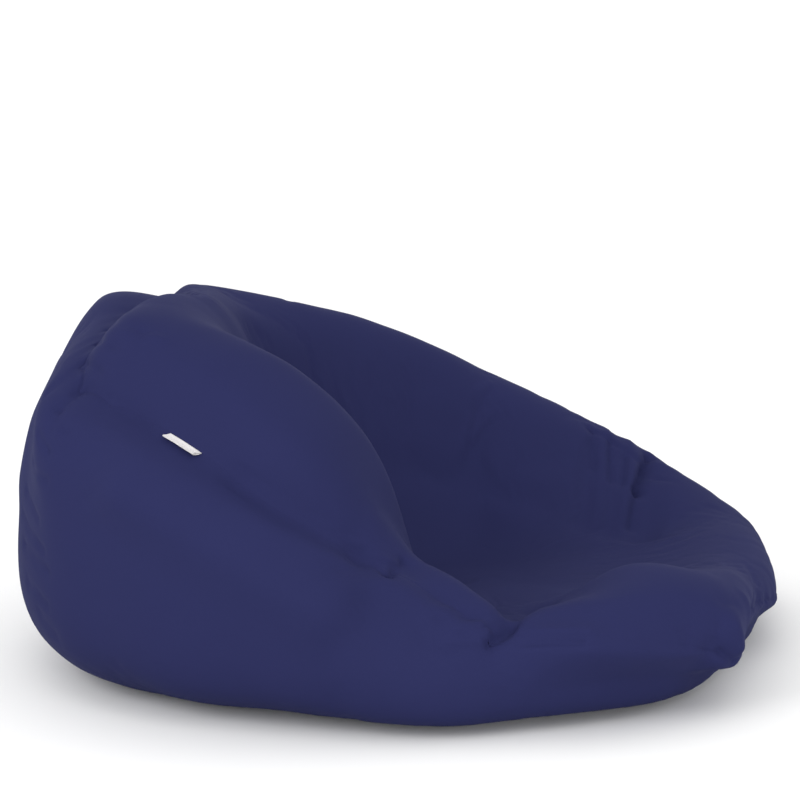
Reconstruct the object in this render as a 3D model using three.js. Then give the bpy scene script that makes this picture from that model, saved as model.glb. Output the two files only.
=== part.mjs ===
// A giant bean bag: two cloth panels sewn together all round and filled loose, so that the
// filling stands up into a backrest and sinks into a seat. Millimetres, +Z up. The foot end
// looks along +X, the backrest stands at -X, and the bag rests flat on Z = 0.
import * as THREE from "three";

// The seat's middle, from which the sections are measured, on the floor plan of the bag.
const SEAT_MIDDLE = { x: 126, y: -17 };
const SEAT_HEIGHT = 128;

// Radial sections through the filled bag, one row for each direction from the seat's middle.
// "around" is in degrees from the foot end towards the far side. The other columns are
// distances out from the middle and heights above the floor: where the bag leaves the floor,
// how far its belly swells, where the seam runs, and the crest of the rim or backrest. "swell"
// is how full the outer panel stands under the seam, in hundredths of its height there.
const SECTION_COLUMNS = ["around", "floor", "belly", "seam", "seamHeight", "crest", "crestHeight", "swell"];
const SECTION_ROWS = [
  [0, 370, 484, 516, 88, 410, 160, 17],
  [18, 430, 550, 566, 82, 450, 165, 17],
  [34, 500, 635, 645, 85, 500, 180, 17],
  [50, 510, 625, 605, 180, 470, 258, 17],
  [68, 480, 595, 555, 275, 430, 340, 17],
  [90, 470, 585, 535, 340, 400, 430, 17],
  [112, 500, 620, 560, 405, 410, 505, 17],
  [132, 550, 685, 620, 468, 430, 548, 17],
  [149, 630, 750, 715, 530, 460, 556, 20],
  [163, 680, 790, 588, 586, 470, 584, 28],
  [180, 690, 798, 526, 612, 450, 596, 25],
  [190, 690, 802, 590, 604, 470, 602, 18],
  [199, 650, 798, 665, 578, 480, 594, 15],
  [207, 610, 781, 735, 526, 480, 584, 17],
  [214, 565, 745, 690, 488, 458, 568, 21],
  [222, 525, 708, 640, 442, 428, 540, 20],
  [234, 459, 642, 582, 358, 378, 455, 17],
  [240, 443, 617, 545, 318, 346, 370, 17],
  [245, 438, 597, 515, 284, 334, 262, 17],
  [250, 445, 585, 480, 245, 335, 222, 17],
  [262, 435, 557, 482, 188, 355, 194, 17],
  [272, 370, 525, 505, 160, 400, 158, 17],
  [287, 330, 510, 540, 160, 405, 184, 17],
  [303, 322, 506, 545, 128, 400, 228, 17],
  [315, 325, 482, 544, 92, 440, 222, 17],
  [330, 325, 464, 486, 115, 450, 190, 17],
  [345, 335, 458, 478, 110, 420, 168, 17],
];

// How the filling rounds each section between the measured points, as shares of a span.
const BELLY_RISE = 0.4; // the belly's height as a share of the seam's
const BELLY_BASE = 20;
const HIP_IN = 0.16; // the bag turns up from the floor close under its belly
const HIP_RISE = 0.34;
const SHOULDER_AT = 0.8; // the outer panel's last swell before the seam
const ARM_AT = 0.42; // the seat panel's swell above the seam
const ARM_SWELL = 0.25;
const HOLLOW_BASE = 140; // how far out the hollow's wall stands, with a share of the crest
const HOLLOW_OUT = 0.3;
const HOLLOW_RISE = 0.3;
const SEAT_OUT = 0.55;
const SEAT_RISE = 8;

// Steps of the surface along each span of a section, from the floor up and over to the seat.
const SPAN_STEPS = {
  floor: 3,
  hip: 4,
  belly: 6,
  shoulder: 4,
  seam: 4,
  arm: 5,
  crest: 6,
  hollow: 3,
  seat: 2,
};
const COLUMNS_AROUND = 112;
const UNDERSIDE_LEAD = 0.75; // the flat underside leads into the first span from this share

// The stitched seam pulls the cloth in by this much, and a neighbouring ring by a share of it.
const SEAM_DRAW = 9;
const SEAM_DRAW_BESIDE = 0.35;

// The main folds: each runs straight between two places near the surface, as wide and as deep
// as given. A negative depth is a ridge, where the cloth stands up beside a fold.
const FOLDS = [
  { name: "near rim pinch", from: [128, -520, 150], to: [160, -470, 165], width: 30, depth: 17 },
  { name: "pinch into the seat", from: [150, -480, 155], to: [200, -360, 150], width: 30, depth: 14 },
  { name: "under the near arm", from: [-90, -478, 272], to: [-20, -446, 240], width: 24, depth: 9 },
  { name: "arm to seat", from: [-10, -410, 222], to: [70, -290, 160], width: 34, depth: 16 },
  { name: "upper rim wrinkle", from: [38, -480, 196], to: [110, -505, 160], width: 24, depth: 4 },
  { name: "lower rim wrinkle", from: [20, -552, 165], to: [112, -525, 146], width: 22, depth: 4 },
  { name: "near seam valley", from: [-258, -474, 386], to: [-85, -474, 272], width: 36, depth: 11 },
  { name: "near side crown", from: [-430, -480, 372], to: [-140, -543, 212], width: 52, depth: -24 },
  { name: "near rim crown", from: [-45, -466, 250], to: [100, -505, 172], width: 36, depth: -11 },
  { name: "near foot corner", from: [461, -462, 90], to: [400, -500, 72], width: 26, depth: 10 },
  { name: "foot end dent", from: [440, -300, 190], to: [330, -260, 165], width: 60, depth: 10 },
  { name: "far wall, first gather", from: [345, 350, 285], to: [320, 200, 168], width: 26, depth: 9 },
  { name: "far wall, second gather", from: [395, 350, 270], to: [365, 190, 156], width: 26, depth: 11 },
  { name: "far wall, third gather", from: [462, 345, 240], to: [425, 180, 145], width: 34, depth: 16 },
  { name: "far wall to seat", from: [150, 370, 400], to: [110, 190, 180], width: 60, depth: 12 },
  { name: "back meets seat", from: [-95, -120, 205], to: [-110, 120, 205], width: 55, depth: 18 },
  { name: "back, near crease", from: [-240, -170, 500], to: [-110, -130, 240], width: 45, depth: 12 },
  { name: "back, far crease", from: [-260, 130, 520], to: [-100, 140, 230], width: 55, depth: 14 },
  { name: "far back corner", from: [-480, 330, 530], to: [-350, 250, 560], width: 45, depth: 14 },
  { name: "near back corner", from: [-530, -350, 505], to: [-400, -290, 560], width: 40, depth: 10 },
  { name: "outer back, far sag", from: [-640, 230, 420], to: [-560, 260, 60], width: 90, depth: 12 },
  { name: "outer back, near sag", from: [-660, -60, 480], to: [-640, -120, 120], width: 80, depth: 6 },
  { name: "outer back, near crown", from: [-634, -190, 425], to: [-642, -205, 350], width: 58, depth: -9 },
  { name: "outer side sag", from: [-180, -520, 260], to: [60, -560, 90], width: 70, depth: 6 },
  { name: "far side sag", from: [-150, 600, 330], to: [250, 590, 120], width: 80, depth: 10 },
];

// The label: a folded tape caught in the near seam. It lies down over the outer panel, leans a
// little towards the back, and its folded edge stands off the cloth.
const LABEL = {
  around: [220.2, 224.4], // from one end to the other along the seam, as directions from the seat
  belowSeam: 1.5,
  reach: 16,
  thickness: 1.2,
  gap: 0.5,
  stand: 7,
  lean: 5,
};
const LABEL_STEPS = { along: 12, down: 4 };
const LABEL_CLEAR_VIEW = 40; // how far outside the cloth the label's points look for it from

function sections() {
  return SECTION_ROWS.map((row) => Object.fromEntries(SECTION_COLUMNS.map((name, i) => [name, row[i]])));
}

// A point of a section, out from the seat's middle and up.
function across(out, up) {
  return new THREE.Vector2(out, up);
}

// The point a share of the way from one point to the next, swollen outwards by a share of the span.
function swollen(from, to, share, swell) {
  const span = to.clone().sub(from);
  const outward = across(span.y, -span.x);
  return from.clone().addScaledVector(span, share).addScaledVector(outward, swell);
}

// The named points of one section, in order from the floor to the seat.
function sectionPoints(section) {
  const bellyHeight = BELLY_RISE * section.seamHeight + BELLY_BASE;
  const belly = across(section.belly, bellyHeight);
  const seam = across(section.seam, section.seamHeight);
  const crest = across(section.crest, section.crestHeight);
  const hollowOut = HOLLOW_BASE + HOLLOW_OUT * section.crest;
  return {
    floor: across(section.floor, 0),
    hip: across(section.belly - HIP_IN * (section.belly - section.floor), HIP_RISE * bellyHeight),
    belly,
    shoulder: swollen(belly, seam, SHOULDER_AT, section.swell / 100),
    seam,
    arm: swollen(seam, crest, ARM_AT, ARM_SWELL),
    crest,
    hollow: across(hollowOut, SEAT_HEIGHT + HOLLOW_RISE * (section.crestHeight - SEAT_HEIGHT)),
    seat: across(SEAT_OUT * hollowOut, SEAT_HEIGHT + SEAT_RISE),
  };
}

// A section's point turned to its direction round the seat.
function turned(point, degrees) {
  const angle = THREE.MathUtils.degToRad(degrees);
  return new THREE.Vector3(
    SEAT_MIDDLE.x + point.x * Math.cos(angle),
    SEAT_MIDDLE.y + point.x * Math.sin(angle),
    point.y,
  );
}

// The closed curves that run round the bag through the like-named points of all sections.
function linesAround() {
  const rows = sections();
  const points = rows.map(sectionPoints);
  const lines = {};
  for (const name of Object.keys(SPAN_STEPS)) {
    const loop = rows.map((row, i) => turned(points[i][name], row.around));
    lines[name] = new THREE.CatmullRomCurve3(loop, true, "centripetal");
  }
  return lines;
}

// The curves' parameter for a direction, so that the surface's columns lie evenly round the seat.
function parameterAt(degrees) {
  const starts = SECTION_ROWS.map((row) => row[0]);
  const last = starts.findLastIndex((start) => start <= degrees);
  const end = last + 1 < starts.length ? starts[last + 1] : starts[0] + 360;
  return (last + (degrees - starts[last]) / (end - starts[last])) / starts.length;
}

// One column of surface points, from the rim of the flat underside to the seat's middle.
function columnPoints(lines, degrees) {
  const names = Object.keys(SPAN_STEPS);
  const at = parameterAt(degrees);
  const knots = names.map((name) => lines[name].getPoint(at));
  const lead = turned(across(0, 0), 0).lerp(knots[0], UNDERSIDE_LEAD);
  const seatMiddle = turned(across(0, SEAT_HEIGHT), 0);
  const curve = new THREE.CatmullRomCurve3([lead, ...knots, seatMiddle], false, "centripetal");
  const column = [];
  names.forEach((name, span) => {
    for (let step = 0; step < SPAN_STEPS[name]; step += 1) {
      const point = curve.getPoint((span + 1 + step / SPAN_STEPS[name]) / (names.length + 1));
      point.z = Math.max(point.z, 0);
      column.push(point);
    }
  });
  return column;
}

// One closed surface of the columns, a fan over the flat underside and a fan in the seat.
function closedSurface(columns, underMiddle, seatMiddle) {
  const rings = columns[0].length;
  const positions = columns.flat().flatMap((point) => point.toArray());
  const under = columns.length * rings;
  const seat = under + 1;
  positions.push(...underMiddle.toArray(), ...seatMiddle.toArray());
  const faces = [];
  columns.forEach((_, column) => {
    const here = column * rings;
    const next = ((column + 1) % columns.length) * rings;
    for (let ring = 0; ring + 1 < rings; ring += 1) {
      faces.push(here + ring, next + ring, next + ring + 1);
      faces.push(here + ring, next + ring + 1, here + ring + 1);
    }
    faces.push(under, next, here);
    faces.push(seat, here + rings - 1, next + rings - 1);
  });
  const geometry = new THREE.BufferGeometry();
  geometry.setAttribute("position", new THREE.Float32BufferAttribute(positions, 3));
  geometry.setIndex(faces);
  return geometry;
}

// How deep all the folds together press the cloth in at a place.
function foldDepth(place) {
  const nearest = new THREE.Vector3();
  let depth = 0;
  for (const fold of FOLDS) {
    const line = new THREE.Line3(new THREE.Vector3(...fold.from), new THREE.Vector3(...fold.to));
    line.closestPointToPoint(place, true, nearest);
    depth += fold.depth * Math.exp(-((place.distanceTo(nearest) / fold.width) ** 2));
  }
  return depth;
}

// How far the stitches pull in a ring of the surface.
function seamDraw(ring) {
  const names = Object.keys(SPAN_STEPS);
  const seamRing = names.slice(0, names.indexOf("seam")).reduce((sum, name) => sum + SPAN_STEPS[name], 0);
  if (ring === seamRing) return SEAM_DRAW;
  return Math.abs(ring - seamRing) === 1 ? SEAM_DRAW * SEAM_DRAW_BESIDE : 0;
}

// Presses the seam and the folds into the plain filled form. The underside stays flat.
function pressFolds(geometry, rings) {
  geometry.computeVertexNormals();
  const places = geometry.getAttribute("position");
  const normals = geometry.getAttribute("normal");
  const place = new THREE.Vector3();
  const normal = new THREE.Vector3();
  for (let i = 0; i < places.count; i += 1) {
    place.fromBufferAttribute(places, i);
    if (place.z === 0) continue;
    const ring = i < COLUMNS_AROUND * rings ? i % rings : -1;
    const pull = foldDepth(place) + (ring < 0 ? 0 : seamDraw(ring));
    normal.fromBufferAttribute(normals, i);
    place.addScaledVector(normal, -pull);
    places.setXYZ(i, place.x, place.y, Math.max(place.z, 0));
  }
  geometry.deleteAttribute("normal");
}

function bagGeometry(lines) {
  const columns = [];
  for (let column = 0; column < COLUMNS_AROUND; column += 1) {
    columns.push(columnPoints(lines, (360 * column) / COLUMNS_AROUND));
  }
  const geometry = closedSurface(columns, turned(across(0, 0), 0), turned(across(0, SEAT_HEIGHT), 0));
  pressFolds(geometry, columns[0].length);
  return geometry;
}

// A closed slab from a grid of points on its underside, rows by columns, thickened along "out".
function slabGeometry(grid, out, thickness) {
  const rows = grid.length;
  const columns = grid[0].length;
  const under = grid.flat();
  const over = under.map((point) => point.clone().addScaledVector(out, thickness));
  const positions = [...under, ...over].flatMap((point) => point.toArray());
  const lid = rows * columns;
  const faces = [];
  for (let row = 0; row + 1 < rows; row += 1) {
    for (let column = 0; column + 1 < columns; column += 1) {
      const a = row * columns + column;
      const b = a + 1;
      const c = a + columns + 1;
      const d = a + columns;
      faces.push(lid + a, lid + c, lid + b, lid + a, lid + d, lid + c);
      faces.push(a, b, c, a, c, d);
    }
  }
  const rim = [];
  for (let column = 0; column + 1 < columns; column += 1) rim.push(column);
  for (let row = 0; row + 1 < rows; row += 1) rim.push(row * columns + columns - 1);
  for (let column = columns - 1; column > 0; column -= 1) rim.push((rows - 1) * columns + column);
  for (let row = rows - 1; row > 0; row -= 1) rim.push(row * columns);
  rim.forEach((here, i) => {
    const next = rim[(i + 1) % rim.length];
    faces.push(here, lid + next, next, here, lid + here, lid + next);
  });
  const geometry = new THREE.BufferGeometry();
  geometry.setAttribute("position", new THREE.Float32BufferAttribute(positions, 3));
  geometry.setIndex(faces);
  return geometry;
}

// The label follows the cloth: each of its points is found by looking in at the bag from outside.
function labelGeometry(lines, bag) {
  const alongSeam = LABEL.around.map((degrees) => lines.seam.getPoint(parameterAt(degrees)));
  const middle = (LABEL.around[0] + LABEL.around[1]) / 2;
  const seam = lines.seam.getPoint(parameterAt(middle));
  const shoulder = lines.shoulder.getPoint(parameterAt(middle));
  const along = alongSeam[1].clone().sub(alongSeam[0]);
  const down = shoulder.clone().sub(seam).projectOnPlane(along.clone().normalize()).normalize();
  const out = down.clone().cross(along).normalize();
  const looker = new THREE.Raycaster();
  const grid = [];
  for (let row = 0; row <= LABEL_STEPS.down; row += 1) {
    const points = [];
    const share = row / LABEL_STEPS.down;
    for (let column = 0; column <= LABEL_STEPS.along; column += 1) {
      const place = alongSeam[0].clone().addScaledVector(along, column / LABEL_STEPS.along);
      place.addScaledVector(along, (-LABEL.lean * share) / along.length());
      place.addScaledVector(down, LABEL.belowSeam + LABEL.reach * share);
      place.addScaledVector(out, LABEL_CLEAR_VIEW);
      looker.set(place, out.clone().negate());
      const found = looker.intersectObject(bag)[0].point;
      points.push(found.addScaledVector(out, LABEL.gap + LABEL.stand * share));
    }
    grid.push(points);
  }
  return slabGeometry(grid, out, LABEL.thickness);
}

function matt(name, color, roughness) {
  return new THREE.MeshStandardMaterial({ name, color, roughness, metalness: 0 });
}

const cloth = matt("cover cloth", 0x31345c, 0.7);
const tape = matt("label tape", 0xe9e6e6, 0.6);

const lines = linesAround();
const bag = new THREE.Mesh(bagGeometry(lines), cloth);
bag.name = "bag";
const label = new THREE.Mesh(labelGeometry(lines, bag), tape);
label.name = "label";

const beanBag = new THREE.Group();
beanBag.add(bag, label);

export default beanBag;
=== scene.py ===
# %% [markdown]
# # A giant bean bag
# The real thing is two big rectangles of navy polyester sewn together all round, turned right side out
# and filled loose with beads. Pushed into shape it stands up into a backrest with arms, sinks into a
# seat and lies flat on the floor. This lesson builds its finished cover and the folded tape label in its
# seam around a fixed frame: the frame's node `bag` is the filled bag with its main folds, and `label` is
# the tape.

# %% Load the frame
import math
import bpy
import bmesh
import numpy as np
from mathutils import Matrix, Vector, noise
from mathutils.bvhtree import BVHTree


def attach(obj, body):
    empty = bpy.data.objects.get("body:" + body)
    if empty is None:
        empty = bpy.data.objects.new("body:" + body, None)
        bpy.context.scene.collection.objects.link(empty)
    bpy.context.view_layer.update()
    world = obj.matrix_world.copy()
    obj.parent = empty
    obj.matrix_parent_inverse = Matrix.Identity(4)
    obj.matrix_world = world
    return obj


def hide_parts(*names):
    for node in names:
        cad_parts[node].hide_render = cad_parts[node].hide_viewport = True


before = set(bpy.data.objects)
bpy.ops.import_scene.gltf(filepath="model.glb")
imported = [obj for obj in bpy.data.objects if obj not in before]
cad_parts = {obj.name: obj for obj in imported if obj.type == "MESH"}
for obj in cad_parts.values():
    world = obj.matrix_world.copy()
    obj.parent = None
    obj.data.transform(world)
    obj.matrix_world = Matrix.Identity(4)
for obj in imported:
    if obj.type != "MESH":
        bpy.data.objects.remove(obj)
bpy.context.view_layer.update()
MM = 0.001

# %% [markdown]
# ## Camera
# The photograph is taken from the bag's near side, a little above it, with a long lens. A camera 3.6 m
# away and 11 degrees above the bag's middle gives the same outline, so it is set first and everything
# that follows is judged through it.

# %% Camera
VIEW_DISTANCE = 3.6
VIEW_DOWN = math.radians(11)
VIEW_PIVOT = Vector((-0.022, -0.017, 0.33))
VIEW_RAISE = 0.106  # the picture's middle lies this far above the pivot
LENS, SENSOR = 93.15, 36  # in millimetres
VIEW_END = 30


def add_camera():
    """The camera at the photograph's viewing angle."""
    bpy.ops.object.camera_add()
    camera = bpy.context.object
    back = Vector((0, -math.cos(VIEW_DOWN), math.sin(VIEW_DOWN)))
    up = Vector((0, math.sin(VIEW_DOWN), math.cos(VIEW_DOWN)))
    camera.location = VIEW_PIVOT + back * VIEW_DISTANCE
    aim = VIEW_PIVOT + up * VIEW_RAISE
    camera.rotation_euler = (aim - camera.location).to_track_quat("-Z", "Y").to_euler()
    camera.data.sensor_width = SENSOR
    camera.data.lens = LENS
    camera.data.clip_end = VIEW_END
    bpy.context.scene.camera = camera
    return camera


camera = add_camera()
print("camera at", [round(v, 3) for v in camera.location])

# %% [markdown]
# ## Light and floor
# The photograph is lit from all round, so the navy barely changes from the top of the bag to its belly.
# A white room light does most of that. Two wide soft lamps give the cloth its slight sheen, one high on
# the left and one low in front. The floor is one large pale plane.

# %% Light and floor
ROOM_LIGHT = 1.26
LAMP_COLUMNS = ("name", "place", "aim", "size", "watts")
LAMPS = (
    ("key", (-2.7, -2.7, 2.3), (0, 0, 0.3), 2.2, 58),
    ("fill", (0.9, -3.7, 0.5), (0.2, 0, 0.15), 1.8, 48),
)
FLOOR_SIZE = 60
FLOOR_FINISH = {"Base Color": (0.83, 0.83, 0.83, 1), "Roughness": 0.8, "Specular IOR Level": 0.1}


def set_inputs(node, values):
    """Gives a node's inputs their values. A pair of a node and its output is linked to the input."""
    for entry, value in values.items():
        if isinstance(value, tuple) and isinstance(value[0], bpy.types.Node):
            source, output = value
            node.id_data.links.new(source.outputs[output], node.inputs[entry])
        else:
            node.inputs[entry].default_value = value


def add_room_light():
    """Even white light from all round."""
    world = bpy.data.worlds.new("soft studio")
    bpy.context.scene.world = world
    world.use_nodes = True
    set_inputs(world.node_tree.nodes["Background"], {"Color": (1, 1, 1, 1), "Strength": ROOM_LIGHT})


def add_lamp(name, place, aim, size, watts):
    """A round soft lamp that is turned to its aim."""
    bpy.ops.object.light_add(type="AREA", location=place)
    lamp = bpy.context.object
    lamp.name = name
    lamp.rotation_euler = (Vector(aim) - Vector(place)).to_track_quat("-Z", "Y").to_euler()
    lamp.data.shape = "DISK"
    lamp.data.size = size
    lamp.data.energy = watts


def add_floor():
    """The pale plane that the bag lies on. It belongs to the scene and not to the bag."""
    bpy.ops.mesh.primitive_plane_add(size=FLOOR_SIZE)
    floor = bpy.context.object
    floor.name = "studio_floor"
    material = bpy.data.materials.new("pale floor")
    material.use_nodes = True
    set_inputs(material.node_tree.nodes["Principled BSDF"], FLOOR_FINISH)
    floor.data.materials.append(material)


bpy.ops.object.select_all(action="DESELECT")
add_room_light()
for row in LAMPS:
    add_lamp(**dict(zip(LAMP_COLUMNS, row)))
add_floor()
bpy.context.scene.view_settings.view_transform = "Standard"

# %% [markdown]
# ## The bag's sections
# A bag this soft has no profile that could be extruded. It is described as a maker would measure it:
# from the middle of the seat outwards, one section for each direction. Each row says where the bag
# leaves the floor, how far its belly swells, where the seam runs, where the crest of the rim or
# backrest is, and how full the outer panel stands under the seam. The direction is in degrees from the
# foot end, the swell in hundredths and the rest in millimetres. These are the frame's own sections, so
# the cover fits it.

# %% Section table
MIDDLE = np.array([126, -17, 0]) * MM
SEAT_HEIGHT = 128 * MM
SECTION_COLUMNS = ("around", "floor", "belly", "seam", "seam_height", "crest", "crest_height", "swell")
SECTION_ROWS = (
    (0, 370, 484, 516, 88, 410, 160, 17),
    (18, 430, 550, 566, 82, 450, 165, 17),
    (34, 500, 635, 645, 85, 500, 180, 17),
    (50, 510, 625, 605, 180, 470, 258, 17),
    (68, 480, 595, 555, 275, 430, 340, 17),
    (90, 470, 585, 535, 340, 400, 430, 17),
    (112, 500, 620, 560, 405, 410, 505, 17),
    (132, 550, 685, 620, 468, 430, 548, 17),
    (149, 630, 750, 715, 530, 460, 556, 20),
    (163, 680, 790, 588, 586, 470, 584, 28),
    (180, 690, 798, 526, 612, 450, 596, 25),
    (190, 690, 802, 590, 604, 470, 602, 18),
    (199, 650, 798, 665, 578, 480, 594, 15),
    (207, 610, 781, 735, 526, 480, 584, 17),
    (214, 565, 745, 690, 488, 458, 568, 21),
    (222, 525, 708, 640, 442, 428, 540, 20),
    (234, 459, 642, 582, 358, 378, 455, 17),
    (240, 443, 617, 545, 318, 346, 370, 17),
    (245, 438, 597, 515, 284, 334, 262, 17),
    (250, 445, 585, 480, 245, 335, 222, 17),
    (262, 435, 557, 482, 188, 355, 194, 17),
    (272, 370, 525, 505, 160, 400, 158, 17),
    (287, 330, 510, 540, 160, 405, 184, 17),
    (303, 322, 506, 545, 128, 400, 228, 17),
    (315, 325, 482, 544, 92, 440, 222, 17),
    (330, 325, 464, 486, 115, 450, 190, 17),
    (345, 335, 458, 478, 110, 420, 168, 17),
)
SECTIONS = dict(zip(SECTION_COLUMNS, np.array(SECTION_ROWS, float).T))
for name in SECTION_COLUMNS[1:-1]:
    SECTIONS[name] *= MM
print(len(SECTION_ROWS), "sections round the seat")

# %% [markdown]
# The filling rounds each section between those points. The shares below say how: the hip close to the
# floor, the outer panel's shoulder just under the seam, the seat panel's swell above it, and the wall of
# the hollow.

# %% Points of a section
BELLY_RISE, BELLY_BASE = 0.4, 20 * MM
HIP_IN, HIP_RISE = 0.16, 0.34
SHOULDER_AT = 0.8
ARM_AT, ARM_SWELL = 0.42, 0.25
HOLLOW_BASE, HOLLOW_OUT, HOLLOW_RISE = 140 * MM, 0.3, 0.3
SEAT_OUT, SEAT_RISE = 0.55, 8 * MM


def across(out, up):
    """Points of the sections, out from the seat's middle and up."""
    return np.stack([out, np.broadcast_to(up, np.shape(out))], axis=-1)


def swollen(start, end, share, swell):
    """The point a share of the way along each span, swollen outwards by a share of the span."""
    span = end - start
    outward = np.stack([span[:, 1], -span[:, 0]], axis=-1)
    return start + span * share + outward * np.reshape(swell, (-1, 1))


def section_lines():
    """For each named line round the bag, its points, one for each section."""
    s = SECTIONS
    belly_height = BELLY_RISE * s["seam_height"] + BELLY_BASE
    belly = across(s["belly"], belly_height)
    seam = across(s["seam"], s["seam_height"])
    crest = across(s["crest"], s["crest_height"])
    hollow_out = HOLLOW_BASE + HOLLOW_OUT * s["crest"]
    points = {
        "floor": across(s["floor"], 0.0),
        "hip": across(s["belly"] - HIP_IN * (s["belly"] - s["floor"]), HIP_RISE * belly_height),
        "belly": belly,
        "shoulder": swollen(belly, seam, SHOULDER_AT, s["swell"] / 100),
        "seam": seam,
        "arm": swollen(seam, crest, ARM_AT, np.full(len(belly), ARM_SWELL)),
        "crest": crest,
        "hollow": across(hollow_out, SEAT_HEIGHT + HOLLOW_RISE * (s["crest_height"] - SEAT_HEIGHT)),
        "seat": across(SEAT_OUT * hollow_out, SEAT_HEIGHT + SEAT_RISE),
    }
    angle = np.radians(s["around"])
    lines = {}
    for name, point in points.items():
        flat = point[:, :1] * np.stack([np.cos(angle), np.sin(angle)], axis=-1)
        lines[name] = MIDDLE + np.concatenate([flat, point[:, 1:]], axis=-1)
    return lines


LINES = section_lines()
SEAM = list(LINES).index("seam")
print("lines round the bag:", ", ".join(LINES))

# %% [markdown]
# ## From sections to a surface
# A curve that passes through every point and doesn't overshoot where points crowd, a centripetal
# Catmull-Rom curve, runs round the bag and then up and over each column. A sculpted mesh could give the
# same form, but here every width and height can still be read and changed in the table.

# %% Surface curves
LEAST_GAP = 1e-4


def curve_between(before, start, end, after, share):
    """Points on the centripetal Catmull-Rom curve from start to end."""
    def root_gap(a, b):
        return np.maximum(np.sqrt(np.linalg.norm(a - b, axis=-1, keepdims=True)), LEAST_GAP)

    gap_a, gap_b, gap_c = root_gap(before, start), root_gap(start, end), root_gap(end, after)
    leave = (start - before) / gap_a - (end - before) / (gap_a + gap_b) + (end - start) / gap_b
    arrive = (end - start) / gap_b - (after - start) / (gap_b + gap_c) + (after - end) / gap_c
    leave, arrive = leave * gap_b, arrive * gap_b
    bend = -3 * start + 3 * end - 2 * leave - arrive
    return start + leave * share + bend * share**2 + (2 * start - 2 * end + leave + arrive) * share**3


def line_at(points, degrees):
    """A closed line's points in the given directions round the seat."""
    starts = SECTIONS["around"]
    ends = np.append(starts[1:], starts[0] + 360)
    last = np.searchsorted(starts, degrees, side="right") - 1
    share = ((degrees - starts[last]) / (ends[last] - starts[last]))[:, None]
    around = [points[(last + step) % len(starts)] for step in (-1, 0, 1, 2)]
    return curve_between(*around, share)


print("the seam at the foot end:", line_at(LINES["seam"], np.zeros(1))[0].round(3))

# %% [markdown]
# The cover is worked out once on a very fine set of columns. They are evenly spaced round the outer
# panel, halfway between its belly and the seam. Each mesh that follows, the coarse one for the
# simulation and the fine one for the finished cover, takes its rings and columns from this set.

# %% Columns of the cover
COLUMNS = 2240  # a column every 1.8 mm or so round the bag
SAMPLES = 48  # points of a column between two lines
UNDERSIDE_LEAD = 0.75


def even_directions():
    """Directions that space the columns evenly along the middle of the outer panel."""
    trial = np.linspace(0, 360, COLUMNS * 2 + 1)
    line = (line_at(LINES["belly"], trial % 360) + line_at(LINES["seam"], trial % 360)) / 2
    run = np.append(0, np.cumsum(np.linalg.norm(np.diff(line, axis=0), axis=-1)))
    return np.interp(np.arange(COLUMNS) / COLUMNS * run[-1], run, trial), run[-1]


DIRECTIONS, ROUND_LENGTH = even_directions()


def plain_columns():
    """Points of the plain filled bag, by sample from the floor to the seat's middle, and by column."""
    knots = [line_at(line, DIRECTIONS) for line in LINES.values()]
    seat = np.broadcast_to(MIDDLE + (0, 0, SEAT_HEIGHT), knots[0].shape)
    lead = MIDDLE + (knots[0] - MIDDLE) * UNDERSIDE_LEAD
    opposite = np.roll(knots[-1], COLUMNS // 2, axis=0)
    column = [lead, *knots, seat, opposite]
    rings = []
    for span in range(len(LINES)):
        for step in range(SAMPLES):
            rings.append(curve_between(*column[span : span + 4], step / SAMPLES))
    rings.append(seat)
    columns = np.array(rings)
    columns[..., 2] = np.maximum(columns[..., 2], 0)
    return columns


PLAIN = plain_columns()
print("round the bag", round(float(ROUND_LENGTH), 2), "m, columns", PLAIN.shape[1])

# %% [markdown]
# ## Main folds
# Where the seat meets the back, where the arm ends and where the low rim is pressed down, the cloth
# folds in by a centimetre or two. Each fold is a straight line near the surface, as wide and deep as given,
# and the cloth is pressed in along its own normals. The frame has the same folds.

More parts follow.
